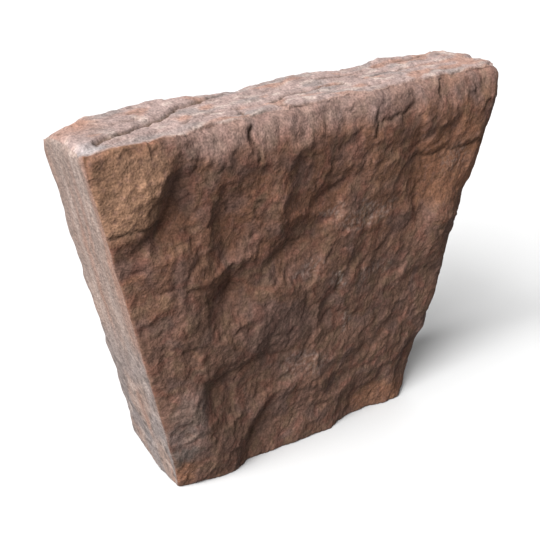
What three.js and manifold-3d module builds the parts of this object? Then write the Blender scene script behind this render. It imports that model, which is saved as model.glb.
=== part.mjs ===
// A rock-faced keystone of brown sandstone, one solid piece. A slab was sawn to a wedge with
// flat joints, bed and back, then its face was pitched off with hammer and chisel.
// Millimetres, +Z up. The chiselled face looks along -Y and the stone stands on its narrow bed.
import * as THREE from "three";
import { mergeVertices } from "three/addons/utils/BufferGeometryUtils.js";
import Module from "manifold-3d";

const wasm = await Module();
wasm.setup();

// Driving dimensions: the wedge, and how far its face stands proud of the arrises.
const TOP_WIDTH = 305;
const BED_WIDTH = 190;
const HEIGHT = 229;
const THICKNESS = 56;
const FACE_PROUD = 6;

const BACK_Y = THICKNESS / 2;
const ARRIS_Y = FACE_PROUD - THICKNESS / 2;
const GRID = 5;
const SPARE = 12;

// The face swells from each arris over these distances, and keeps most of the swell at the bed.
const SWELL_LEFT = 45;
const SWELL_RIGHT = 14;
const SWELL_TOP = 30;
const SWELL_BED = 45;
const SWELL_AT_BED = 0.9;

// The head of a spall hooks forward at its sides, by this share of its half width.
const HEAD_HOOK = 0.2;

// The chisel's first spalls. x and z place the foot of the riser, heading is the way the spall
// runs out, in degrees from +X towards +Z, reach is half its width, and a higher curve makes the
// run-out more hollow.
const FIRST_SPALLS = [
  { at: "boss", x: -108, z: 189, heading: -20, riser: 12, run: 55, reach: 33, depth: 6, curve: 1 },
  { at: "boss foot", x: -126, z: 169, heading: -70, riser: 9, run: 36, reach: 20, depth: 2.6, curve: 1.2 },
  { at: "upper hollow", x: -72, z: 170, heading: 4, riser: 18, run: 34, reach: 32, depth: 6, curve: 0.8 },
  { at: "dark pocket", x: -66, z: 130, heading: 6, riser: 19, run: 26, reach: 21, depth: 7, curve: 0.8 },
  { at: "scoop's head", x: -6, z: 194, heading: -88, riser: 9, run: 30, reach: 26, depth: 2.8, curve: 1.1 },
  { at: "scoop's side", x: -20, z: 184, heading: -2, riser: 14, run: 55, reach: 26, depth: 4.2, curve: 1 },
  { at: "scoop's foot", x: -25, z: 152, heading: -32, riser: 14, run: 40, reach: 20, depth: 3.8, curve: 1 },
  { at: "right groove", x: 77, z: 168, heading: 2, riser: 14, run: 48, reach: 34, depth: 4.6, curve: 0.8 },
  { at: "right field", x: 46, z: 130, heading: 0, riser: 30, run: 60, reach: 34, depth: 2.4, curve: 1 },
  { at: "low left riser", x: -50, z: 54, heading: -5, riser: 36, run: 50, reach: 32, depth: 5.5, curve: 1 },
  { at: "low left ledge", x: -48, z: 76, heading: -86, riser: 9, run: 30, reach: 42, depth: 3.6, curve: 1.2 },
  { at: "diagonal valley", x: -40, z: 24, heading: -22, riser: 15, run: 55, reach: 38, depth: 7, curve: 1 },
  { at: "bottom scoop", x: 40, z: 6, heading: -2, riser: 18, run: 42, reach: 30, depth: 5.5, curve: 1.3 },
  { at: "low right arris", x: 89, z: 26, heading: -8, riser: 12, run: 40, reach: 28, depth: 5.2, curve: 1 },
  { at: "right arris", x: 124, z: 122, heading: -21, riser: 20, run: 20, reach: 38, depth: 3, curve: 1 },
];

// Later, lighter spalls that cut into the first ones, in the same terms.
const LATER_SPALLS = [
  { at: "scoop step", x: 4, z: 176, heading: -58, riser: 8, run: 40, reach: 28, depth: 3, curve: 1.1 },
  { at: "right ledge", x: 86, z: 98, heading: -88, riser: 5, run: 22, reach: 30, depth: 2, curve: 1.2 },
];

// The top arris is knocked off in a row of spalls. They meet at these places across the face,
// and each reaches a little past its breaks so that the arris stays continuous.
const TOP_ARRIS_BREAKS = [-89, -54, -28, 35, 92, 122, 152];
const TOP_ARRIS_RUNS = [16, 30, 18, 18, 16, 20];
const TOP_ARRIS_DEPTH = 5;
const TOP_ARRIS_OVERLAP = 1.3;
const TOP_ARRIS_RISER = 5;
const TOP_ARRIS_CURVE = 1.2;

// Broken edges wander by this much, in bent waves.
const WANDER = 2.4;
const WANDER_LENGTH = 8.7;
const WANDER_BEND = 1.5;
const WANDER_BEND_LENGTH = 17;

// Corners broken off the block: which corner, and how far each break runs along the edges.
const CHIPS = [
  { corner: [-1, 1, 1], along: [38, 24, 12] },
  { corner: [-1, 1, 0], along: [22, 28, 18] },
  { corner: [1, -1, 1], along: [13, 13, 12] },
  { corner: [1, 1, 1], along: [9, 36, 8] },
  { corner: [1, -1, 0], along: [9, 10, 9] },
  { corner: [-1, -1, 0], along: [8, 6, 5] },
];
const CHIP_SIZE = 120;

// The split top: low waves, and at the left a layer that ends in a ledge. The ledge runs from
// its start, near the front, to its end near the back, and dies away before LEDGE_STOP.
const LEDGE_STEP = 1.1;
const LEDGE_RAMP = 3;
const LEDGE_START_X = -140;
const LEDGE_START_DEPTH = 12;
const LEDGE_END_X = -60;
const LEDGE_END_DEPTH = 40;
const LEDGE_STOP = -30;
const TOP_WAVE = 1;
const TOP_WAVE_LENGTH = 31;
const TOP_WAVE_DEPTH = 13;

const { clamp, degToRad, smoothstep } = THREE.MathUtils;

function halfWidth(z) {
  return (BED_WIDTH + ((TOP_WIDTH - BED_WIDTH) * z) / HEIGHT) / 2;
}

function wander(a, b) {
  return WANDER * Math.sin(a / WANDER_LENGTH + WANDER_BEND * Math.sin(b / WANDER_BEND_LENGTH));
}

// Depth of one spall at a point of the face: riser behind the foot, run-out ahead of it.
function spallDepth({ x, z, heading, riser, run, reach, depth, curve }, px, pz) {
  const turn = degToRad(heading);
  const ahead = (px - x) * Math.cos(turn) + (pz - z) * Math.sin(turn);
  const aside = ((pz - z) * Math.cos(turn) - (px - x) * Math.sin(turn)) / reach;
  const along = ahead - HEAD_HOOK * reach * aside * aside;
  const dropIn = clamp(1 + along / riser, 0, 1);
  const runOut = Math.pow(clamp(1 - Math.max(along, 0) / run, 0, 1), curve);
  return depth * dropIn * runOut * Math.max(0, 1 - aside * aside);
}

// The spalls along the top arris, one between each pair of breaks, running down the face.
// Their risers are above the stone, so only the run-outs show.
function topArrisSpalls() {
  return TOP_ARRIS_RUNS.map((run, i) => ({
    x: (TOP_ARRIS_BREAKS[i] + TOP_ARRIS_BREAKS[i + 1]) / 2,
    z: HEIGHT + TOP_ARRIS_RISER,
    heading: -90,
    riser: TOP_ARRIS_RISER,
    run: run + TOP_ARRIS_RISER,
    reach: (TOP_ARRIS_OVERLAP * (TOP_ARRIS_BREAKS[i + 1] - TOP_ARRIS_BREAKS[i])) / 2,
    depth: TOP_ARRIS_DEPTH,
    curve: TOP_ARRIS_CURVE,
  }));
}

const deepSpalls = [...FIRST_SPALLS, ...topArrisSpalls()];

function deepest(spalls, px, pz) {
  return Math.max(...spalls.map((spall) => spallDepth(spall, px, pz)));
}

// How much of the swell is reached at a distance inside an arris.
function swell(inside, width) {
  const missing = 1 - clamp(inside / width, 0, 1);
  return 1 - missing * missing;
}

// The face: the swell in front of the arris plane, less the deepest first spall at that point
// and the deepest later one.
function faceY(x, z) {
  const px = x + wander(z, x);
  const pz = z + wander(x, z);
  const sides = swell(halfWidth(z) + x, SWELL_LEFT) * swell(halfWidth(z) - x, SWELL_RIGHT);
  const bed = SWELL_AT_BED + (1 - SWELL_AT_BED) * swell(z, SWELL_BED);
  const ends = swell(HEIGHT - z, SWELL_TOP) * bed;
  const cut = deepest(deepSpalls, px, pz) + deepest(LATER_SPALLS, px, pz);
  return ARRIS_Y - FACE_PROUD * sides * ends + cut;
}

// The split top: low waves, and a step down in front of the ledge.
function topZ(x, y) {
  const across = Math.sin(x / TOP_WAVE_LENGTH + Math.sin(y / TOP_WAVE_DEPTH));
  const wave = TOP_WAVE * (1 + across * Math.cos(y / TOP_WAVE_DEPTH));
  const share = (x - LEDGE_START_X) / (LEDGE_END_X - LEDGE_START_X);
  const ledge = ARRIS_Y + LEDGE_START_DEPTH + (LEDGE_END_DEPTH - LEDGE_START_DEPTH) * share;
  const inFront = 1 - smoothstep(y, ledge - LEDGE_RAMP, ledge);
  const step = LEDGE_STEP * inFront * (1 - smoothstep(x, LEDGE_END_X, LEDGE_STOP));
  return HEIGHT - wave - step;
}

// A closed three.js geometry as a solid for cutting.
function solid(geometry) {
  const bare = geometry.clone();
  bare.deleteAttribute("normal");
  bare.deleteAttribute("uv");
  const merged = mergeVertices(bare);
  return new wasm.Manifold(
    new wasm.Mesh({
      numProp: 3,
      vertProperties: merged.attributes.position.array,
      triVerts: new Uint32Array(merged.index.array),
    }),
  );
}

function geometryOf(manifold) {
  const mesh = manifold.getMesh();
  const geometry = new THREE.BufferGeometry();
  geometry.setAttribute("position", new THREE.BufferAttribute(mesh.vertProperties, 3));
  geometry.setIndex(new THREE.BufferAttribute(mesh.triVerts, 1));
  geometry.computeVertexNormals();
  return geometry;
}

// The sawn wedge: a trapezoid carried through the stone, standing clear in front of the face.
function sawnWedge() {
  const outline = new THREE.Shape([
    new THREE.Vector2(-BED_WIDTH / 2, 0),
    new THREE.Vector2(BED_WIDTH / 2, 0),
    new THREE.Vector2(TOP_WIDTH / 2, HEIGHT),
    new THREE.Vector2(-TOP_WIDTH / 2, HEIGHT),
  ]);
  const wedge = new THREE.ExtrudeGeometry(outline, { depth: THICKNESS + SPARE, bevelEnabled: false });
  wedge.rotateX(Math.PI / 2);
  wedge.translate(0, BACK_Y, 0);
  return solid(wedge);
}

// A block larger than the stone whose front is the pitched face.
function faceBlock() {
  const width = TOP_WIDTH + 2 * SPARE;
  const height = HEIGHT + 2 * SPARE;
  const columns = Math.round(width / GRID);
  const rows = Math.round(height / GRID);
  const block = new THREE.BoxGeometry(width, THICKNESS, height, columns, 1, rows);
  block.translate(0, 0, HEIGHT / 2);
  const point = block.attributes.position;
  for (let i = 0; i < point.count; i += 1) {
    const front = point.getY(i) < 0;
    const y = front ? faceY(point.getX(i), clamp(point.getZ(i), 0, HEIGHT)) : BACK_Y + SPARE;
    point.setY(i, y);
  }
  return solid(block);
}

// A block larger than the stone whose upper side is the split top.
function topBlock() {
  const width = TOP_WIDTH + 2 * SPARE;
  const depth = THICKNESS + 2 * SPARE;
  const columns = Math.round(width / (2 * GRID));
  const rows = Math.round(depth / GRID);
  const block = new THREE.BoxGeometry(width, depth, HEIGHT, columns, rows, 1);
  block.translate(0, 0, HEIGHT / 2);
  const point = block.attributes.position;
  for (let i = 0; i < point.count; i += 1) {
    const upper = point.getZ(i) > HEIGHT / 2;
    point.setZ(i, upper ? topZ(point.getX(i), point.getY(i)) : -SPARE);
  }
  return solid(block);
}

// A corner break: everything outside the plane through three points, one on each edge.
function cornerChip({ corner: [right, back, top], along: [alongX, alongY, alongZ] }) {
  const z = top * HEIGHT;
  const x = right * halfWidth(z);
  const y = back > 0 ? BACK_Y : ARRIS_Y;
  const up = z + (top ? -alongZ : alongZ);
  const onX = new THREE.Vector3(x - right * alongX, y, z);
  const onY = new THREE.Vector3(x, y - back * alongY, z);
  const onZ = new THREE.Vector3(right * halfWidth(up), y, up);
  const plane = new THREE.Plane().setFromCoplanarPoints(onX, onY, onZ);
  if (plane.distanceToPoint(new THREE.Vector3(0, 0, HEIGHT / 2)) > 0) plane.negate();
  const facing = new THREE.Quaternion().setFromUnitVectors(new THREE.Vector3(0, 0, 1), plane.normal);
  const waste = new THREE.BoxGeometry(CHIP_SIZE, CHIP_SIZE, CHIP_SIZE);
  waste.translate(0, 0, CHIP_SIZE / 2);
  waste.applyQuaternion(facing);
  waste.translate(onX.x, onX.y, onX.z);
  return solid(waste);
}

function keystone() {
  let stone = sawnWedge().intersect(faceBlock()).intersect(topBlock());
  for (const chip of CHIPS) stone = stone.subtract(cornerChip(chip));
  const sandstone = new THREE.MeshStandardMaterial({ color: 0x8a6a58, roughness: 0.92, metalness: 0 });
  const mesh = new THREE.Mesh(geometryOf(stone), sandstone);
  mesh.name = "keystone";
  return mesh;
}

const part = new THREE.Group();
part.add(keystone());

export default part;
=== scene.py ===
"""A rock-faced sandstone keystone on a pale studio floor, seen from its upper left."""

import math

import bpy
import numpy as np
from mathutils import Matrix, Vector


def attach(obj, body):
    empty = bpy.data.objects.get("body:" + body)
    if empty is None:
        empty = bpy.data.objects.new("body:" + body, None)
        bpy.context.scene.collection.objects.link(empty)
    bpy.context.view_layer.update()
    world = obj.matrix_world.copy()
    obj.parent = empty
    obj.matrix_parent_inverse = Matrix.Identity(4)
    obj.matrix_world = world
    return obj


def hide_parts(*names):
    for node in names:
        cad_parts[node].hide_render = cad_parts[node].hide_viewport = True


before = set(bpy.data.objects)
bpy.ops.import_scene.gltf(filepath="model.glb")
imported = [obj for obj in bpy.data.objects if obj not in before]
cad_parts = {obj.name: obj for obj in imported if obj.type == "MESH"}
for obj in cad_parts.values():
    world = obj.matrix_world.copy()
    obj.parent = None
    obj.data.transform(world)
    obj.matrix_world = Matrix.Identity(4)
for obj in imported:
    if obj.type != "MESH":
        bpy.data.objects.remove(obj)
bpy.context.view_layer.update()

# The sawn block
# The keystone is one wedge of brown sandstone, cut from a slab with flat sawn joints, bed and
# back. It is worked out in millimetres from the middle of its bed, with the face towards -Y.

TOP_WIDTH = 305.0
BED_WIDTH = 190.0
HEIGHT = 229.0
THICKNESS = 56.0
FACE_PROUD = 6.0
BACK = THICKNESS / 2
ARRIS = FACE_PROUD - THICKNESS / 2
JOINT_DEPTH = BACK - ARRIS

COLUMNS = 280
ROWS = 212
LAYERS = 44
LAYER_CROWDING = 1.3
COARSE_STEP = 4


def half_width(z):
    """Half the wedge's width, growing in a straight line from the bed to the top."""
    return (BED_WIDTH + (TOP_WIDTH - BED_WIDTH) * z / HEIGHT) / 2


def block_skin():
    """Numbers the lattice points on the block's skin: all of them on the face, joints and top,
    and every fourth each way on the back and bed, which are plainer."""
    across, inward, upward = np.indices((COLUMNS + 1, LAYERS + 1, ROWS + 1), dtype=np.int32)
    fine = (across == 0) | (across == COLUMNS) | (inward == 0) | (upward == ROWS)
    coarse_across = across % COARSE_STEP == 0
    on_back = (inward == LAYERS) & coarse_across & (upward % COARSE_STEP == 0)
    on_bed = (upward == 0) & coarse_across & (inward % COARSE_STEP == 0)
    on_skin = fine | on_back | on_bed
    number = np.full(on_skin.shape, -1)
    number[on_skin] = np.arange(on_skin.sum())
    return number, across[on_skin], inward[on_skin], upward[on_skin]


def fine_cells(number):
    """Four-sided cells of a sheet of numbered points, facing along its first axis cross its second."""
    corners = number[:-1, :-1], number[1:, :-1], number[1:, 1:], number[:-1, 1:]
    return np.stack(corners, axis=-1).reshape(-1, 4).tolist()


def coarse_cells(number):
    """Cells four points wide. A cell at the sheet's rim also takes the rim's finer points."""
    cells = []
    for i in range(0, number.shape[0] - 1, COARSE_STEP):
        for j in range(0, number.shape[1] - 1, COARSE_STEP):
            cell = number[i:i + COARSE_STEP + 1, j:j + COARSE_STEP + 1]
            rim = np.concatenate((cell[:-1, 0], cell[-1, :-1], cell[:0:-1, -1], cell[0, :0:-1]))
            cells.append(rim[rim >= 0].tolist())
    return cells


number, column, layer, row = block_skin()
faces = (
    fine_cells(number[:, 0, :])
    + fine_cells(number[0, :, :].T)
    + fine_cells(number[COLUMNS, :, :])
    + fine_cells(number[:, :, ROWS])
    + coarse_cells(number[:, LAYERS, :].T)
    + coarse_cells(number[:, :, 0].T)
)

height = HEIGHT * row / ROWS
depth = JOINT_DEPTH * (layer / LAYERS) ** LAYER_CROWDING
side = 2.0 * column / COLUMNS - 1.0
x = side * half_width(height)
y = ARRIS + depth
z = height.copy()

# The pitched face
# The face was knocked off with hammer and chisel from the arrises inwards. Each blow left a
# scar with a steep riser at its head and a long run-out, and the stone broke along its grain.

SWELL_LEFT = 45.0
SWELL_RIGHT = 11.0
SWELL_TOP = 30.0
SWELL_BED = 45.0
SWELL_AT_BED = 0.9
RIGHT_BEVEL_WIDTH = 14.0
RIGHT_BEVEL_HEIGHT = 132.0
RIGHT_BEVEL_REACH = 34.0
LEFT_BLOCK_NARROWING = 17.0
LEFT_BLOCK_HEIGHT = 58.0
LEFT_BLOCK_REACH = 26.0

SCAR_SIDE_POWER = 2
SCAR_HOOK = 0.2

# The first blows' scars. Each one: the foot of its riser across and up the face, its heading in
# degrees from +X towards +Z, riser, run, half width, depth, and how hollow its run-out is.
FIRST_SCARS = (
    (-108, 189, -20, 12, 55, 33, 6.0, 1.0),
    (-126, 169, -70, 9, 36, 20, 2.6, 1.2),
    (-72, 170, 4, 18, 34, 32, 6.0, 0.8),
    (-66, 130, 6, 19, 26, 21, 7.0, 0.8),
    (-6, 194, -88, 9, 30, 26, 2.8, 1.1),
    (-20, 184, -2, 14, 55, 26, 4.2, 1.0),
    (-25, 152, -32, 14, 40, 20, 3.8, 1.0),
    (77, 168, 2, 14, 48, 34, 4.6, 0.8),
    (46, 130, 0, 30, 60, 34, 2.4, 1.0),
    (-50, 54, -5, 36, 50, 32, 5.5, 1.0),
    (-48, 76, -86, 9, 30, 42, 3.6, 1.2),
    (-40, 24, -22, 15, 55, 38, 7.0, 1.0),
    (40, 6, -2, 18, 42, 30, 5.5, 1.3),
    (89, 26, -8, 12, 40, 28, 5.2, 1.0),
    (124, 122, -21, 20, 20, 38, 1.6, 1.0),
    (-94, -5, 55, 4, 26, 24, 5.0, 1.0),
)

# Later, lighter blows that cut into the first scars, in the same terms.
LATER_SCARS = (
    (4, 176, -58, 8, 40, 28, 3.0, 1.1),
    (92, 181, -90, 4, 15, 40, 1.0, 1.2),
    (86, 98, -88, 5, 22, 30, 2.0, 1.2),
    (-76, 66, -8, 9, 30, 20, 3.0, 1.0),
    (6, 97, -10, 7, 20, 14, 2.5, 1.0),
    (-109, 104, -30, 4, 9, 8, 2.0, 1.0),
    (-55, 216, 0, 3, 12, 10, 2.0, 1.0),
    (93, 222, 0, 4, 12, 10, 2.5, 1.0),
    (35, 212, -10, 4, 14, 12, 2.0, 1.0),
    (64, 214, -50, 4, 12, 10, 1.5, 1.0),
    (18, 39, -40, 7, 14, 10, 2.0, 1.0),
    (-37, 141, -10, 8, 20, 14, 2.0, 1.0),
    (130, 146, -20, 4, 9, 9, 3.2, 1.0),
    (116, 92, -20, 4, 10, 10, 3.2, 1.0),
    (109, 66, -20, 4, 9, 8, 2.6, 1.0),
)

# Low mounds left standing: across, height, half width, half height, lean in degrees, rise.
MOUNDS = (
    (62, 53, 24, 12, 15, 1.6),
    (102, 136, 22, 46, -14, 4.6),
    (-120, 198, 22, 26, 0, 2.4),
)

# The top arris is knocked off in a row of scars that meet at these places.
TOP_ARRIS_BREAKS = (-89, -54, -28, 35, 92, 122, 152)
TOP_ARRIS_RUNS = (16, 30, 18, 18, 16, 20)
TOP_ARRIS_DEPTH = 5.0
TOP_ARRIS_OVERLAP = 1.3
TOP_ARRIS_LEAD = 5.0
TOP_ARRIS_HOLLOW = 1.2
DOWNWARDS = -90

# Cracks: both ends across and up the face, and depth.
FACE_CRACKS = (
    (-141, 180, -112, 182, 1.0),
    (-53, 222, -52, 204, 1.2),
    (35, 217, 36, 202, 1.2),
    (92, 227, 91, 215, 1.2),
    (122, 225, 124, 211, 1.0),
    (40, 211, 63, 213, 1.0),
    (70, 180, 136, 182, 0.7),
    (-30, 150, 8, 151, 0.7),
)
CRACK_WIDTH = 0.9

# Points are shifted by noise before the scars are read, so that their edges come out ragged.
# Each noise: how far it shifts, its size across and up, its upright stretch, and two seeds.
EDGE_SHIFTS = (
    (3.0, 24, 24, 1, 1, 3),
    (1.6, 9, 9, 1, 2, 4),
    (0.5, 4, 4, 1, 5, 6),
    (1.1, 2.4, 2.4, 2, 12, 13),
)

# Facets that the stone broke in, weaker near the side arrises: rise, size and seed.
LARGE_FACETS = ((2.5, 32, 7), (1.0, 13, 8))
SMALL_FACETS = (0.5, 7, 14)
FACETS_AT_ARRIS = 0.3
FACET_FADE = 14.0
FACET_LATTICE = 64
FACET_CRISPNESS = 18.0
FACET_STEP = 0.3

# Hackles along the grain, and grit: rise, stretch along the two axes, size and seed.
GRAIN_ANGLE = math.radians(57)
HACKLES = ((0.08, 2.2, 1, 5, 9), (0.28, 2.2, 1, 2.0, 11))
FACE_GRIT = (0.16, 1, 1, 1.7, 10)
FACE_SET_BACK = 0.5
NOISE_LATTICE = 256
NOISE_GAIN = 1.5


def smooth_noise(a, b, size, seed):
    """Random waves about zero, roughly between -1 and 1. Each point of a lattice of that size
    holds a random slope, and a point blends its four neighbours' slopes by a fifth-power ease."""
    turn = np.random.default_rng(seed).uniform(0, 2 * np.pi, (NOISE_LATTICE, NOISE_LATTICE))
    slope_a, slope_b = np.cos(turn), np.sin(turn)
    a, b = a / size, b / size
    cell_a, cell_b = np.floor(a).astype(int), np.floor(b).astype(int)
    a, b = a - cell_a, b - cell_b
    ease_a, ease_b = (t * t * t * (t * (6 * t - 15) + 10) for t in (a, b))

    def corner(i, j):
        at = (cell_a + i) % NOISE_LATTICE, (cell_b + j) % NOISE_LATTICE
        return slope_a[at] * (a - i) + slope_b[at] * (b - j)

    low = corner(0, 0) * (1 - ease_a) + corner(1, 0) * ease_a
    high = corner(0, 1) * (1 - ease_a) + corner(1, 1) * ease_a
    return NOISE_GAIN * (low * (1 - ease_b) + high * ease_b)


def ripples(a, b, kind):
    """Noise of a kind: its rise, its stretch along the two axes, its size and its seed."""
    rise, stretch_a, stretch_b, size, seed = kind
    return rise * smooth_noise(a / stretch_a, b / stretch_b, size, seed)


def shifted(a, b, shifts):
    """Points moved along both axes by several noises."""
    new_a, new_b = a, b
    for amount, size_a, size_b, stretch, seed_a, seed_b in shifts:
        new_a = new_a + amount * smooth_noise(a, b / stretch, size_a, seed_a)
        new_b = new_b + amount * smooth_noise(a, b / stretch, size_b, seed_b)
    return new_a, new_b


def step(t, low, high):
    """0 below low, 1 above high, and an s-shaped curve between."""
    t = np.clip((t - low) / (high - low), 0, 1)
    return t * t * (3 - 2 * t)


def bell(t):
    """1 at zero, and a bell curve falling to nothing on both sides."""
    return np.exp(-(t ** 2))


def swell(inside, width):
    """Share of the face's swell reached at a distance inside an arris, along a parabola."""
    return 1 - (1 - np.clip(inside / width, 0, 1)) ** 2


def scar_depth(px, pz, scar):
    """One blow's scar. Along its heading the depth grows evenly down the riser to the foot, then
    runs out by a power curve; across, it falls off along a parabola, and its head hooks forward."""
    across, up, heading, riser, run, reach, deepest, hollow = scar
    turn = math.radians(heading)
    along = (px - across) * math.cos(turn) + (pz - up) * math.sin(turn)
    aside = ((pz - up) * math.cos(turn) - (px - across) * math.sin(turn)) / reach
    along = along - SCAR_HOOK * reach * aside ** 2
    drop_in = np.clip(1 + along / riser, 0, 1)
    run_out = np.clip(1 - np.maximum(along, 0) / run, 0, 1) ** hollow
    return deepest * drop_in * run_out * np.clip(1 - aside ** SCAR_SIDE_POWER, 0, 1)


def top_arris_scars():
    """One scar between each pair of breaks, running down the face from above the top arris."""
    lead = TOP_ARRIS_LEAD
    for left, right, run in zip(TOP_ARRIS_BREAKS[:-1], TOP_ARRIS_BREAKS[1:], TOP_ARRIS_RUNS):
        middle = (left + right) / 2
        reach = TOP_ARRIS_OVERLAP * (right - left) / 2
        end = run + lead
        yield middle, HEIGHT + lead, DOWNWARDS, lead, end, reach, TOP_ARRIS_DEPTH, TOP_ARRIS_HOLLOW


def deepest_scar(px, pz, scars):
    """The deepest of several scars at each point."""
    depths = np.zeros_like(px)
    for scar in scars:
        depths = np.maximum(depths, scar_depth(px, pz, scar))
    return depths


def mound_rise(px, pz, mound):
    """A smooth mound: one less the squared distance in its own half widths, squared again."""
    across, up, reach, tall, lean, rise = mound
    turn = math.radians(lean)
    along = ((px - across) * math.cos(turn) + (pz - up) * math.sin(turn)) / reach
    aside = ((pz - up) * math.cos(turn) - (px - across) * math.sin(turn)) / tall
    return rise * np.clip(1 - along ** 2 - aside ** 2, 0, 1) ** 2


def crack_depth(px, pz, crack, width):
    """A thin groove: a bell curve of the distance to the line between the crack's ends."""
    x0, z0, x1, z1, deepest = crack
    run_x, run_z = x1 - x0, z1 - z0
    share = np.clip(((px - x0) * run_x + (pz - z0) * run_z) / (run_x ** 2 + run_z ** 2), 0, 1)
    away = np.hypot(px - x0 - share * run_x, pz - z0 - share * run_z)
    return deepest * bell(away / width)


def deepest_crack(px, pz, cracks, width):
    """The deepest of several cracks at each point."""
    depths = np.zeros_like(px)
    for crack in cracks:
        depths = np.maximum(depths, crack_depth(px, pz, crack, width))
    return depths


def broken_facets(a, b, size, seed):
    """Flat facets with crisp edges, roughly between -1 and 1. Each lattice cell holds a seat at
    random with a tilted plane, and a point takes the plane of the nearest seat, blended with its
    neighbours by a steep fall with distance."""
    random = np.random.default_rng(seed)
    seat_a, seat_b = random.uniform(0, 1, (2, FACET_LATTICE, FACET_LATTICE))
    tilt_a, tilt_b, level = random.uniform(-1, 1, (3, FACET_LATTICE, FACET_LATTICE))
    a, b = a / size, b / size
    cell_a, cell_b = np.floor(a).astype(int), np.floor(b).astype(int)
    total = np.zeros_like(a)
    weights = np.zeros_like(a)
    for i in (-1, 0, 1):
        for j in (-1, 0, 1):
            at = (cell_a + i) % FACET_LATTICE, (cell_b + j) % FACET_LATTICE
            off_a, off_b = a - cell_a - i - seat_a[at], b - cell_b - j - seat_b[at]
            weight = np.exp(-FACET_CRISPNESS * np.hypot(off_a, off_b))
            total += weight * (FACET_STEP * level[at] + tilt_a[at] * off_a + tilt_b[at] * off_b)
            weights += weight
    return total / weights


def face_relief(x, z):
    """How far the face lies behind the arris plane: the deepest first scar and the deepest later one,
    the cracks, facets, hackles and grit, less the mounds and the swell. Also gives the depth of the
    cracks alone, which darkens the colour there: dirt in them, and painted shade."""
    px, pz = shifted(x, z, EDGE_SHIFTS)
    scars = deepest_scar(px, pz, (*FIRST_SCARS, *top_arris_scars()))
    scars = scars + deepest_scar(px, pz, LATER_SCARS)
    for mound in MOUNDS:
        scars = scars - mound_rise(px, pz, mound)
    cracks = deepest_crack(px, pz, FACE_CRACKS, CRACK_WIDTH)

    facets = sum(rise * broken_facets(px, pz, size, seed) for rise, size, seed in LARGE_FACETS)
    inside = swell(half_width(z) - np.abs(x), FACET_FADE)
    facets = facets * (FACETS_AT_ARRIS + (1 - FACETS_AT_ARRIS) * inside)
    rise, size, seed = SMALL_FACETS
    facets = facets + rise * broken_facets(x, z, size, seed)

    along = px * math.cos(GRAIN_ANGLE) + pz * math.sin(GRAIN_ANGLE)
    aside = pz * math.cos(GRAIN_ANGLE) - px * math.sin(GRAIN_ANGLE)
    hackles = sum(ripples(along, aside, kind) for kind in HACKLES)
    grit = FACE_SET_BACK + ripples(x, z, FACE_GRIT)

    bevel = RIGHT_BEVEL_WIDTH * bell((z - RIGHT_BEVEL_HEIGHT) / RIGHT_BEVEL_REACH)
    block = LEFT_BLOCK_NARROWING * bell((z - LEFT_BLOCK_HEIGHT) / LEFT_BLOCK_REACH)
    left = swell(half_width(z) + x, SWELL_LEFT - block)
    right = swell(half_width(z) - x, SWELL_RIGHT + bevel)
    bed = SWELL_AT_BED + (1 - SWELL_AT_BED) * swell(z, SWELL_BED)
    proud = FACE_PROUD * left * right * swell(HEIGHT - z, SWELL_TOP) * bed
    return scars + cracks + facets + hackles + grit - proud, cracks


# The cracks' depth is kept to darken them: dirt, and painted shade.
relief, face_crack_dirt_and_shade = face_relief(x, z)

# The split top
# The top was split along the stone's bedding, so thin layers end in ledges that wander along
# it, and it is gritty between them.

LEDGE_HEIGHT = 1.0
LEDGE_START = (-140, 12)
LEDGE_END = (-60, 40)
LEDGE_EDGE = 0.8
LEDGE_STOP = -30
LEDGE_FADE = 30
TOP_CRACK_WIDTH = 0.9
TOP_FADE = 40.0
TOP_SET_BACK = 0.6

# The layers: how many lie above a point and how much that varies, their thickness, stretch across,
# width and seed, and the share of a layer after which it slopes to the next.
LAYER_LEVEL = 2.2
LAYER_SWING = 2.8
LAYER_THICKNESS = 0.4
LAYER_STRETCH = 5
LAYER_WIDTH = 12
LAYER_SEED = 22
LAYER_EDGE = 0.75

# Shifts of the points, in the same terms as the face's.
TOP_SHIFTS = (
    (3.0, 28, 24, 1, 20, 25),
    (1.0, 6, 6, 1, 21, 26),
)

# Facets, the noise that places the pits, and grit: rise, stretch along the two axes, size and seed.
TOP_FACETS = (0.7, 2, 1, 9, 27)
PIT_NOISE = (1.0, 1.4, 1, 4, 28)
PIT_START = 0.35
PIT_FULL = 0.8
PIT_DEPTH = 1.0
TOP_COARSE_GRIT = (0.3, 1.5, 1, 4, 23)
TOP_FINE_GRIT = (0.2, 1, 1, 2.0, 24)

# Cracks along the layers: both ends across and inwards from the face, and depth.
TOP_CRACKS = (
    (-140, 11, -120, 19, 1.6),
    (-120, 19, -95, 25, 1.8),
    (-95, 25, -60, 40, 1.8),
    (-60, 40, -42, 46, 1.2),
    (-30, 13, -5, 19, 1.4),
    (-5, 19, 30, 24, 1.6),
    (-52, 6, -50, 20, 1.2),
    (22, 34, 60, 37, 1.2),
    (52, 22, 90, 28, 1.1),
    (70, 40, 120, 43, 1.0),
    (-90, 12, -62, 18, 0.9),
)


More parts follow.
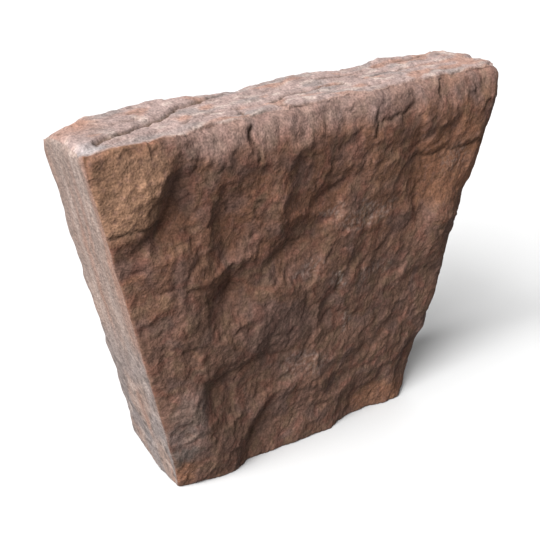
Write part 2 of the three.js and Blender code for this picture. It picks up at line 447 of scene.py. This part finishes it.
def top_drop(x, depth):
    """How far the top lies below its highest level: a ledge that steps down in front of a crack
    running from the front left to the back, long low layers, facets, cracks, pits and grit. Also gives
    the depth of the cracks and pits alone, which darkens the colour there: dirt in them, and painted
    shade."""
    px, pd = shifted(x, depth, TOP_SHIFTS)
    (start_x, start_depth), (end_x, end_depth) = LEDGE_START, LEDGE_END
    ledge_line = start_depth + (end_depth - start_depth) * (px - start_x) / (end_x - start_x)
    in_front = step(ledge_line - pd, -LEDGE_EDGE, LEDGE_EDGE)
    ledge = LEDGE_HEIGHT * in_front * step(LEDGE_STOP - px, 0, LEDGE_FADE)
    above = LAYER_LEVEL + LAYER_SWING * smooth_noise(px / LAYER_STRETCH, pd, LAYER_WIDTH, LAYER_SEED)
    layers = np.floor(above) + step(above - np.floor(above), LAYER_EDGE, 1.0)
    rise, stretch_a, stretch_b, size, seed = TOP_FACETS
    facets = rise * broken_facets(px / stretch_a, pd / stretch_b, size, seed)
    pits = PIT_DEPTH * step(ripples(x, depth, PIT_NOISE), PIT_START, PIT_FULL)
    grit = ripples(px, pd, TOP_COARSE_GRIT) + ripples(x, depth, TOP_FINE_GRIT)
    cracks = deepest_crack(px, pd, TOP_CRACKS, TOP_CRACK_WIDTH)
    drop = TOP_SET_BACK + ledge + LAYER_THICKNESS * layers + facets + grit + pits + cracks
    return drop, cracks + pits


top_fade = np.clip(1 - (HEIGHT - height) / TOP_FADE, 0, 1)
# The depth of the cracks and pits is kept to darken them: dirt, and painted shade.
drop, top_crack_dirt_and_shade = top_drop(x, depth)

# The sawn joints and back
# The saw left the joints nearly flat, with faint upright streaks. The back's edges are broken
# away a little where the slab was snapped from its neighbour.

SIDE_FADE = 40.0
LEFT_SEED = 30
RIGHT_SEED = 36
JOINT_WAVE = 0.35
JOINT_WAVE_SIZE = 26
JOINT_WAVE_STRETCH = 1.5
SAW_STREAK = 0.25
SAW_STREAK_WIDTH = 3.2
SAW_STREAK_STRETCH = 14
JOINT_FACET = 0.35
JOINT_FACET_SIZE = 8
JOINT_FACET_STRETCH = 3
JOINT_GRIT = 0.06
JOINT_GRIT_SIZE = 2.2

BACK_BREAK = 5.0
BACK_BREAK_WIDTH = 16.0
BACK_BREAK_SHARE = 0.5
BACK_RAGGEDNESS = ((0.9, 1, 1, 34, 40), (0.4, 1, 1, 11, 41))


def joint_wear(depth, z, seed):
    """How far a joint lies inside its plane: low waves, upright saw streaks, facets and grit."""
    waves = JOINT_WAVE * (1 + smooth_noise(depth, z / JOINT_WAVE_STRETCH, JOINT_WAVE_SIZE, seed))
    streaks = smooth_noise(depth, z / SAW_STREAK_STRETCH, SAW_STREAK_WIDTH, seed + 1)
    grit = JOINT_GRIT * smooth_noise(depth, z, JOINT_GRIT_SIZE, seed + 2)
    facets = JOINT_FACET * broken_facets(depth, z / JOINT_FACET_STRETCH, JOINT_FACET_SIZE, seed + 3)
    return waves + SAW_STREAK * np.abs(streaks) + facets + grit


def back_break(x, z):
    """How far the back lies inside its plane: nothing in the middle, ragged at the edges."""
    rim = np.minimum(np.minimum(half_width(z) - np.abs(x), HEIGHT - z), z)
    share = BACK_BREAK_SHARE + sum(ripples(x, z, kind) for kind in BACK_RAGGEDNESS)
    return BACK_BREAK * np.clip(share, 0, 1) * np.clip(1 - rim / BACK_BREAK_WIDTH, 0, 1)


wear = np.where(x < 0, joint_wear(depth, z, LEFT_SEED), joint_wear(depth, z, RIGHT_SEED))
side_fade = np.clip(1 - (half_width(z) - np.abs(x)) / SIDE_FADE, 0, 1)
inward_share = depth / JOINT_DEPTH

# Arrises and broken corners
# Handling has worn the arrises round, most of all at the ends of the top. Six corners are broken
# off, two of them widely, at the left of the back.

ARRIS_WEAR = 1.3
TOP_LEFT_WEAR = 5.0
TOP_RIGHT_WEAR = 9.0
TOP_FRONT_WEAR = 4.0
TOP_WEAR_REACH = 14.0
FRONT_WEAR_FROM = -110
FRONT_WEAR_FULL = -80
WEAR_SWING = (0.7, 1, 1, 15, 50)
WEAR_SLANT = 2
CHIP_ROUGHNESS = (0.8, 1, 1, 7, 60)
TINY = 1e-6

# Each chip: which corner (left or right, face or back, bed or top), and how far it runs along
# the edges across, inwards and upwards.
CHIPS = (
    ((-1, 1, 1), (38, 24, 12)),
    ((-1, 1, 0), (22, 28, 18)),
    ((1, -1, 1), (13, 13, 12)),
    ((1, 1, 1), (9, 36, 8)),
    ((1, -1, 0), (9, 10, 9)),
    ((-1, -1, 0), (8, 6, 5)),
)


def worn_shift(x, y, z):
    """Moves points near an arris on to a rounding. The part of a point's offset from the inner
    block that passes the wear radius is taken back."""
    near_top = bell((HEIGHT - z) / TOP_WEAR_REACH)
    left = TOP_LEFT_WEAR * bell((half_width(z) + x) / TOP_WEAR_REACH)
    right = TOP_RIGHT_WEAR * bell((half_width(z) - x) / TOP_WEAR_REACH)
    front = TOP_FRONT_WEAR * bell((y - ARRIS) / TOP_WEAR_REACH)
    front = front * step(x, FRONT_WEAR_FROM, FRONT_WEAR_FULL)
    radius = ARRIS_WEAR + near_top * np.maximum(np.maximum(left, right), front)
    radius = radius * (1 + ripples(x + y, z + WEAR_SLANT * y, WEAR_SWING))
    over_x = np.maximum(0, radius - (half_width(z) - np.abs(x))) * np.sign(x)
    over_y = np.maximum(0, radius - (BACK - y)) - np.maximum(0, radius - (y - ARRIS))
    over_z = np.maximum(0, radius - (HEIGHT - z)) - np.maximum(0, radius - z)
    over = np.stack((over_x, over_y, over_z), axis=-1)
    length = np.linalg.norm(over, axis=-1)
    return -over * np.maximum(0, 1 - radius / np.maximum(length, TINY))[:, None]


def break_corner(points, corner, along):
    """Presses points that lie outside the break's plane on to it, along its normal. The plane
    goes through one point on each of the corner's three edges."""
    right, back, top = corner
    up = top * HEIGHT
    edge_up = abs(up - along[2])
    place_y = BACK if back > 0 else ARRIS
    on_x = np.array((right * (half_width(up) - along[0]), place_y, up))
    on_y = np.array((right * half_width(up), place_y - back * along[1], up))
    on_z = np.array((right * half_width(edge_up), place_y, edge_up))
    normal = np.cross(on_y - on_x, on_z - on_x)
    normal /= np.linalg.norm(normal)
    normal *= np.sign(normal @ (on_x - (0, 0, HEIGHT / 2)))
    rough = ripples(points[:, 0] + points[:, 1], points[:, 2], CHIP_ROUGHNESS)
    outside = np.maximum(0, (points - on_x) @ normal + rough)
    return points - outside[:, None] * normal


points = np.stack((x, y, z), axis=-1) + worn_shift(x, y, z)
points[:, 1] += relief * (1 - inward_share) - back_break(x, z) * inward_share
points[:, 2] -= drop * top_fade
points[:, 0] -= np.sign(x) * wear * side_fade
for corner, along in CHIPS:
    points = break_corner(points, corner, along)

# The stone's colours
# The pitched face is brown with iron, with orange, purple-grey and whitish patches. The sawn joints
# and the split top are a paler pinkish grey. Cracks and pits are darkened: dirt in them, and painted
# shade.

RED_BROWN = (0.162, 0.079, 0.050)
GREY_BROWN = (0.150, 0.083, 0.058)
TAN = (0.305, 0.172, 0.106)
ORANGE = (0.265, 0.124, 0.068)
PINK_BROWN = (0.195, 0.106, 0.082)
BRICK_RED = (0.185, 0.074, 0.052)
OLIVE = (0.165, 0.104, 0.064)
PURPLE_GREY = (0.128, 0.079, 0.067)
JOINT_PINK = (0.262, 0.190, 0.160)
TOP_PINK = (0.296, 0.214, 0.194)
RUST = (0.300, 0.165, 0.120)
STONE_GREY = (0.215, 0.182, 0.172)
WHITISH = (0.430, 0.345, 0.305)
DULL_GREY = (0.165, 0.142, 0.138)
DIRT = (0.110, 0.086, 0.076)
# Dirt and painted shade, laid into the cracks and pits by their depth.
CRACK_DIRT_AND_SHADE = (0.090, 0.055, 0.038)

# A patch of lime on the top, near the left end of the face's arris.
LIME = (0.360, 0.325, 0.325)
LIME_SHARE = 0.6
LIME_FROM_LEFT = 8.0
LIME_DEPTH = 6.0
LIME_WIDTH = 10.0
LIME_CORE = 0.3
LIME_RIM = 1.3

# Patches on the face: across, height, half width, half height, strength and tint.
FACE_PATCHES = (
    (-130, 205, 26, 30, 0.8, TAN),
    (104, 172, 42, 32, 0.5, ORANGE),
    (-94, 11, 12, 10, 0.6, ORANGE),
    (65, 10, 32, 12, 0.5, ORANGE),
    (-30, 95, 34, 18, 0.6, PURPLE_GREY),
    (122, 219, 8, 12, 0.6, PURPLE_GREY),
    (-92, 48, 14, 28, 0.3, STONE_GREY),
    (-98, 28, 10, 9, 0.8, DIRT),
    (44, 175, 15, 24, 0.25, TAN),
)

# Clusters of pale grains on the face: across, height, half width, half height and strength.
PALE_GRAINS = (
    (14, 114, 8, 5, 0.55),
    (27, 81, 7, 5, 0.4),
    (36, 154, 28, 7, 0.28),
    (4, 161, 10, 5, 0.25),
    (-8, 128, 16, 5, 0.2),
    (46, 112, 18, 6, 0.2),
    (108, 174, 16, 8, 0.25),
    (-6, 62, 20, 12, 0.2),
)

# A patch is full up to its core and gone at its rim, in squared half widths.
PATCH_CORE = 0.2
PATCH_RIM = 1.3

# Shifts that make the patches ragged, in the same terms as the face's.
PATCH_SHIFTS = (
    (6, 20, 20, 1, 70, 72),
    (3, 7, 7, 1, 71, 73),
)

# The face is redder above, from about half its height.
REDDER_FROM = 100
REDDER_FULL = 170
REDDER_WANDER = (20, 1, 1, 40, 74)

# Mottling of the face: tint, share, how much more where it is redder, size and seed of the noise,
# and the levels of the noise where the tint starts and is full.
FACE_MOTTLES = (
    (PINK_BROWN, 0.5, 0, 16, 77, -0.1, 0.5),
    (PURPLE_GREY, 0.6, 0, 15, 75, -0.1, 0.6),
    (ORANGE, 0.12, 0.18, 12, 78, -0.1, 0.6),
    (OLIVE, 0.45, 0, 9, 88, 0.0, 0.6),
    (BRICK_RED, 0.45, 0, 8, 89, 0.0, 0.6),
)

# Single pink and pale grains: share, size and seed of the noise, start and full.
PINK_GRAINS = (0.5, 3, 90, 0.1, 0.7)
PALE_GRAIN_NOISE = (1.0, 2.2, 91, -0.1, 0.4)

# The pale band below the top arris. It starts right of the tan corner and weakens to the right.
BAND_SHARE = 0.5
BAND_FROM = 206
BAND_FULL = 224
BAND_WANDER = (5, 1, 1, 14, 76)
BAND_LEFT = (-112, -84)
BAND_RIGHT = (30, 110)
BAND_LOSS = 0.6
# How far the cracks and pits are darkened: dirt, and painted shade.
CRACK_DARKENING_SHARE = 0.6

# Upright streaks of lime and rust on the joints and back: rise, stretches, size and seed.
STREAKS = ((1.0, 1, 14, 6, 81), (0.6, 1, 9, 12, 84))
STREAK_FULL = 0.7
LIME_STREAKS = 0.4
LIME_STREAKS_HEIGHT = (20, 150)
RUST_STREAKS = 0.5

# Rust along the face's arris on the joints, in its upper part.
ARRIS_RUST = 0.5
ARRIS_RUST_DEPTH = (2, 6)
ARRIS_RUST_HEIGHT = (40, 110)
ARRIS_RUST_WANDER = (3, 1, 1, 12, 82)

# The lower part of the joints and back is greyer and dirtier. Its blotches: tint, share, upright
# stretch, size and seed of the noise, start and full.
LOW_HEIGHT = (60, 130)
LOW_WANDER = (30, 1, 1, 45, 79)
GREY_SHARE = 0.2
GREY_SHARE_LOW = 0.7
GREY_NOISE = (1.0, 1, 2.5, 14, 80)
GREY_LEVEL = 0.3
LOW_BLOTCHES = (
    (DULL_GREY, 0.7, 2, 12, 87, 0.0, 0.6),
    (WHITISH, 0.4, 1.5, 7, 93, 0.1, 0.6),
    (DIRT, 0.8, 1.5, 4, 83, 0.2, 0.6),
)

# Blotches on the top: tint, share, stretch across, size and seed of the noise, start and full.
TOP_BLOTCHES = (
    (STONE_GREY, 0.7, 3, 10, 84, 0.0, 0.5),
    (WHITISH, 0.65, 2, 6, 85, 0.2, 0.6),
)
TOP_RUST = 0.7
TOP_RUST_NOISE = (1.0, 2, 1, 9, 86)
TOP_RUST_LEVELS = (0.25, 0.7)
TOP_RUST_MORE = 0.4
TOP_RUST_RIGHT = (20, 120)
CORNER_RUST = 0.6
CORNER_RUST_LEFT = (118, 132)
CORNER_RUST_DEPTH = (18, 34)

# Where one side's colour gives way to the next, just past the arrises.
JOINT_EDGE = (0.2, 2.0)
TOP_EDGE = (HEIGHT - 2.0, HEIGHT - 0.2)
TOP_FRONT_EDGE = (0.2, 4.0)


def tint(colour, target, share):
    """Colour moved towards a target by a share at each point."""
    return colour + (np.array(target) - colour) * np.clip(share, 0, 1)[:, None]


def patch(px, pz, across, up, reach_x, reach_z):
    """1 inside an oval patch, falling to 0 at its rim."""
    away = ((px - across) / reach_x) ** 2 + ((pz - up) / reach_z) ** 2
    return 1 - step(away, PATCH_CORE, PATCH_RIM)


def joint_colour():
    """The sawn joints and back: pinkish, with upright streaks of lime and rust, rust along the
    face's arris, and grey, pale and dirty blotches in the lower part."""
    colour = np.broadcast_to(JOINT_PINK, (len(x), 3)).astype(float)
    around = depth + np.where(np.abs(side) < 1, x, side * TOP_WIDTH / 2)
    streaks = sum(ripples(around, z, kind) for kind in STREAKS)
    lime = step(streaks, 0, STREAK_FULL) * step(z, *LIME_STREAKS_HEIGHT)
    colour = tint(colour, WHITISH, LIME_STREAKS * lime)
    colour = tint(colour, RUST, RUST_STREAKS * step(-streaks, 0, STREAK_FULL))
    low = 1 - step(z + ripples(around, z, LOW_WANDER), *LOW_HEIGHT)
    grey = step(ripples(around, z, GREY_NOISE), -GREY_LEVEL, GREY_LEVEL)
    colour = tint(colour, STONE_GREY, (GREY_SHARE + GREY_SHARE_LOW * low) * grey)
    near_face = 1 - step(depth + ripples(around, z, ARRIS_RUST_WANDER), *ARRIS_RUST_DEPTH)
    colour = tint(colour, RUST, ARRIS_RUST * near_face * step(z, *ARRIS_RUST_HEIGHT))
    for target, share, stretch, size, seed, start, full in LOW_BLOTCHES:
        blotches = step(smooth_noise(around, z / stretch, size, seed), start, full)
        colour = tint(colour, target, share * low * blotches)
    return colour


def top_colour():
    """The split top: pinkish with grey and whitish blotches, rusty at the right and at the left back
    corner, a patch of lime at the left front, and dirt and painted shade in the cracks and pits."""
    colour = np.broadcast_to(TOP_PINK, (len(x), 3)).astype(float)
    for target, share, stretch, size, seed, start, full in TOP_BLOTCHES:
        blotches = step(smooth_noise(x / stretch, depth, size, seed), start, full)
        colour = tint(colour, target, share * blotches)
    from_left = x + half_width(HEIGHT) - LIME_FROM_LEFT
    away = np.hypot(from_left / LIME_WIDTH, (depth - LIME_DEPTH) / LIME_WIDTH)
    colour = tint(colour, LIME, LIME_SHARE * (1 - step(away, LIME_CORE, LIME_RIM)))
    rusty = ripples(x, depth, TOP_RUST_NOISE) + TOP_RUST_MORE * step(x, *TOP_RUST_RIGHT)
    colour = tint(colour, RUST, TOP_RUST * step(rusty, *TOP_RUST_LEVELS))
    at_corner = step(-x, *CORNER_RUST_LEFT) * step(depth, *CORNER_RUST_DEPTH)
    colour = tint(colour, RUST, CORNER_RUST * at_corner)
    # The cracks and pits darkened with dirt and painted shade.
    return tint(colour, CRACK_DIRT_AND_SHADE, CRACK_DARKENING_SHARE * top_crack_dirt_and_shade)


def face_colour():
    """The pitched face: brown, redder above, with mottling, ragged patches, pink and pale grains, a
    pale band below the top arris, and dirt and painted shade in the cracks."""
    px, pz = shifted(x, z, PATCH_SHIFTS)
    redder = step(pz + ripples(x, z, REDDER_WANDER), REDDER_FROM, REDDER_FULL)
    colour = tint(np.broadcast_to(GREY_BROWN, (len(x), 3)), RED_BROWN, redder)
    for target, share, more, size, seed, start, full in FACE_MOTTLES:
        mottles = step(smooth_noise(px, pz, size, seed), start, full)
        colour = tint(colour, target, (share + more * redder) * mottles)
    for *oval, strength, target in FACE_PATCHES:
        colour = tint(colour, target, strength * patch(px, pz, *oval))
    share, size, seed, start, full = PINK_GRAINS
    colour = tint(colour, PINK_BROWN, share * step(smooth_noise(x, z, size, seed), start, full))
    share, size, seed, start, full = PALE_GRAIN_NOISE
    grains = share * step(smooth_noise(x, z, size, seed), start, full)
    for *oval, strength in PALE_GRAINS:
        colour = tint(colour, WHITISH, strength * grains * patch(px, pz, *oval))
    band = BAND_SHARE * step(z + ripples(x, z, BAND_WANDER), BAND_FROM, BAND_FULL)
    band = band * step(x, *BAND_LEFT) * (1 - BAND_LOSS * step(x, *BAND_RIGHT))
    colour = tint(colour, TOP_PINK, band)
    # The cracks darkened with dirt and painted shade.
    return tint(colour, CRACK_DIRT_AND_SHADE, CRACK_DARKENING_SHARE * face_crack_dirt_and_shade)


def stone_colour():
    """The face's colour, giving way to the joints' and the top's just past the arrises."""
    colour = tint(face_colour(), joint_colour(), step(depth, *JOINT_EDGE))
    on_top = step(height, *TOP_EDGE) * step(depth, *TOP_FRONT_EDGE)
    return tint(colour, top_colour(), on_top)


# The stone's finish
# Raw sandstone: matt, with fine pale and dark grains in its colour and a gritty surface. It is
# neither polished nor sealed.

ROUGHNESS = 0.92
SHEEN_LEVEL = 0.25
BUMP_STRENGTH = 0.5
BUMP_HEIGHT = 0.0010
MM_PER_METRE = 1000

# Grains in the colour, fine to coarse: scale and detail of the noise, darkest and palest shade.
GRAINS = (
    (800, 2, 0.70, 1.30),
    (350, 2, 0.82, 1.18),
    (90, 3, 0.88, 1.12),
)
GRAIN_LOW = 0.3
GRAIN_HIGH = 0.7


def sandstone():
    """Point colours times three noises of grains, with a fine bump of grit from the finest."""
    material = bpy.data.materials.new("sandstone")
    material.use_nodes = True
    nodes, links = material.node_tree.nodes, material.node_tree.links
    shader = nodes["Principled BSDF"]
    shader.inputs["Roughness"].default_value = ROUGHNESS
    shader.inputs["Specular IOR Level"].default_value = SHEEN_LEVEL
    place = nodes.new("ShaderNodeTexCoord")
    point_colour = nodes.new("ShaderNodeAttribute")
    point_colour.attribute_name = "stone_colour"

    colour = point_colour.outputs["Color"]
    noises = []
    for scale, detail, darkest, palest in GRAINS:
        noise = nodes.new("ShaderNodeTexNoise")
        noise.inputs["Scale"].default_value = scale
        noise.inputs["Detail"].default_value = detail
        links.new(place.outputs["Object"], noise.inputs["Vector"])
        shade = nodes.new("ShaderNodeMapRange")
        shade.inputs["From Min"].default_value = GRAIN_LOW
        shade.inputs["From Max"].default_value = GRAIN_HIGH
        shade.inputs["To Min"].default_value = darkest
        shade.inputs["To Max"].default_value = palest
        links.new(noise.outputs["Fac"], shade.inputs["Value"])
        mix = nodes.new("ShaderNodeMix")
        mix.data_type = "RGBA"
        mix.blend_type = "MULTIPLY"
        mix.inputs["Factor"].default_value = 1.0
        links.new(colour, mix.inputs["A"])
        links.new(shade.outputs["Result"], mix.inputs["B"])
        colour = mix.outputs["Result"]
        noises.append(noise.outputs["Fac"])
    links.new(colour, shader.inputs["Base Color"])

    bump = nodes.new("ShaderNodeBump")
    bump.inputs["Strength"].default_value = BUMP_STRENGTH
    bump.inputs["Distance"].default_value = BUMP_HEIGHT
    links.new(noises[0], bump.inputs["Height"])
    links.new(bump.outputs["Normal"], shader.inputs["Normal"])
    return material


mesh = bpy.data.meshes.new("keystone_stone")
mesh.from_pydata((points / MM_PER_METRE).tolist(), [], faces)
mesh.attributes.new("stone_colour", "FLOAT_COLOR", "POINT")
rgba = np.concatenate((stone_colour(), np.ones((len(x), 1))), axis=1)
mesh.attributes["stone_colour"].data.foreach_set("color", rgba.ravel())
mesh.polygons.foreach_set("use_smooth", np.ones(len(mesh.polygons), dtype=bool))
mesh.materials.append(sandstone())
mesh.update()
stone = bpy.data.objects.new("keystone_stone", mesh)
bpy.context.collection.objects.link(stone)
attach(stone, "root")
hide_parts("keystone")

# The studio
# A pale floor, a broad soft light from the upper left that grazes the face, a weaker one that
# reaches the back and the right joint, and a faint fill from all round.

FLOOR_SIZE = 60.0
FLOOR_GREY = 0.6
KEY_STRENGTH = 7.6
KEY_FROM = Vector((-0.735, -0.17, 0.66))
KEY_WIDTH = math.radians(42)
FILL_STRENGTH = 0.16
BACK_STRENGTH = 2.2
BACK_FROM = Vector((0.60, 0.78, 0.18))
BACK_WIDTH = math.radians(60)

floor_mesh = bpy.data.meshes.new("floor")
half = FLOOR_SIZE / 2
floor_corners = [(-half, -half, 0), (half, -half, 0), (half, half, 0), (-half, half, 0)]
floor_mesh.from_pydata(floor_corners, [], [(0, 1, 2, 3)])
floor_paint = bpy.data.materials.new("floor")
floor_paint.use_nodes = True
floor_shader = floor_paint.node_tree.nodes["Principled BSDF"]
floor_shader.inputs["Base Color"].default_value = (FLOOR_GREY, FLOOR_GREY, FLOOR_GREY, 1)
floor_shader.inputs["Roughness"].default_value = 1.0
floor_shader.inputs["Specular IOR Level"].default_value = 0.0
floor_mesh.materials.append(floor_paint)
floor = bpy.data.objects.new("floor", floor_mesh)
floor.visible_diffuse = False
bpy.context.collection.objects.link(floor)


def soft_sun(name, strength, width, comes_from):
    """A distant light as broad as its width, shining from a direction towards the stone."""
    lamp = bpy.data.lights.new(name, "SUN")
    lamp.energy = strength
    lamp.angle = width
    sun = bpy.data.objects.new(name, lamp)
    sun.rotation_euler = comes_from.to_track_quat("Z", "Y").to_euler()
    bpy.context.collection.objects.link(sun)


soft_sun("key", KEY_STRENGTH, KEY_WIDTH, KEY_FROM)
soft_sun("back_light", BACK_STRENGTH, BACK_WIDTH, BACK_FROM)

world = bpy.data.worlds.new("studio")
world.use_nodes = True
world.node_tree.nodes["Background"].inputs["Strength"].default_value = FILL_STRENGTH
world.node_tree.nodes["Background"].inputs["Color"].default_value = (1, 1, 1, 1)
bpy.context.scene.world = world
bpy.context.scene.view_settings.view_transform = "Standard"

# The camera
# It stands above the stone's left front and leans a little, as the photograph was held. Its place
# and lens were fitted to the stone's outline.

AIM = Vector((-0.0362, ARRIS / MM_PER_METRE, 0.1341))
AZIMUTH = math.radians(-40.24)
ELEVATION = math.radians(27.80)
ROLL = math.radians(3.14)
DISTANCE = 0.5426
FOCAL_PIXELS = 951.1
FRAME_PIXELS = 540
SENSOR_WIDTH = 36.0
NEAREST_SEEN = 0.01

lens = bpy.data.cameras.new("camera")
lens.sensor_width = SENSOR_WIDTH
lens.lens = SENSOR_WIDTH * FOCAL_PIXELS / FRAME_PIXELS
lens.clip_start = NEAREST_SEEN
camera = bpy.data.objects.new("camera", lens)
back = Vector((
    math.sin(AZIMUTH) * math.cos(ELEVATION),
    -math.cos(AZIMUTH) * math.cos(ELEVATION),
    math.sin(ELEVATION),
))
level_right = (-back).cross(Vector((0, 0, 1))).normalized()
level_up = level_right.cross(-back)
right = level_right * math.cos(ROLL) + level_up * math.sin(ROLL)
up = level_up * math.cos(ROLL) - level_right * math.sin(ROLL)
turn = Matrix((right, up, back)).transposed().to_4x4()
camera.matrix_world = Matrix.Translation(AIM + back * DISTANCE) @ turn
bpy.context.collection.objects.link(camera)
bpy.context.scene.camera = camera
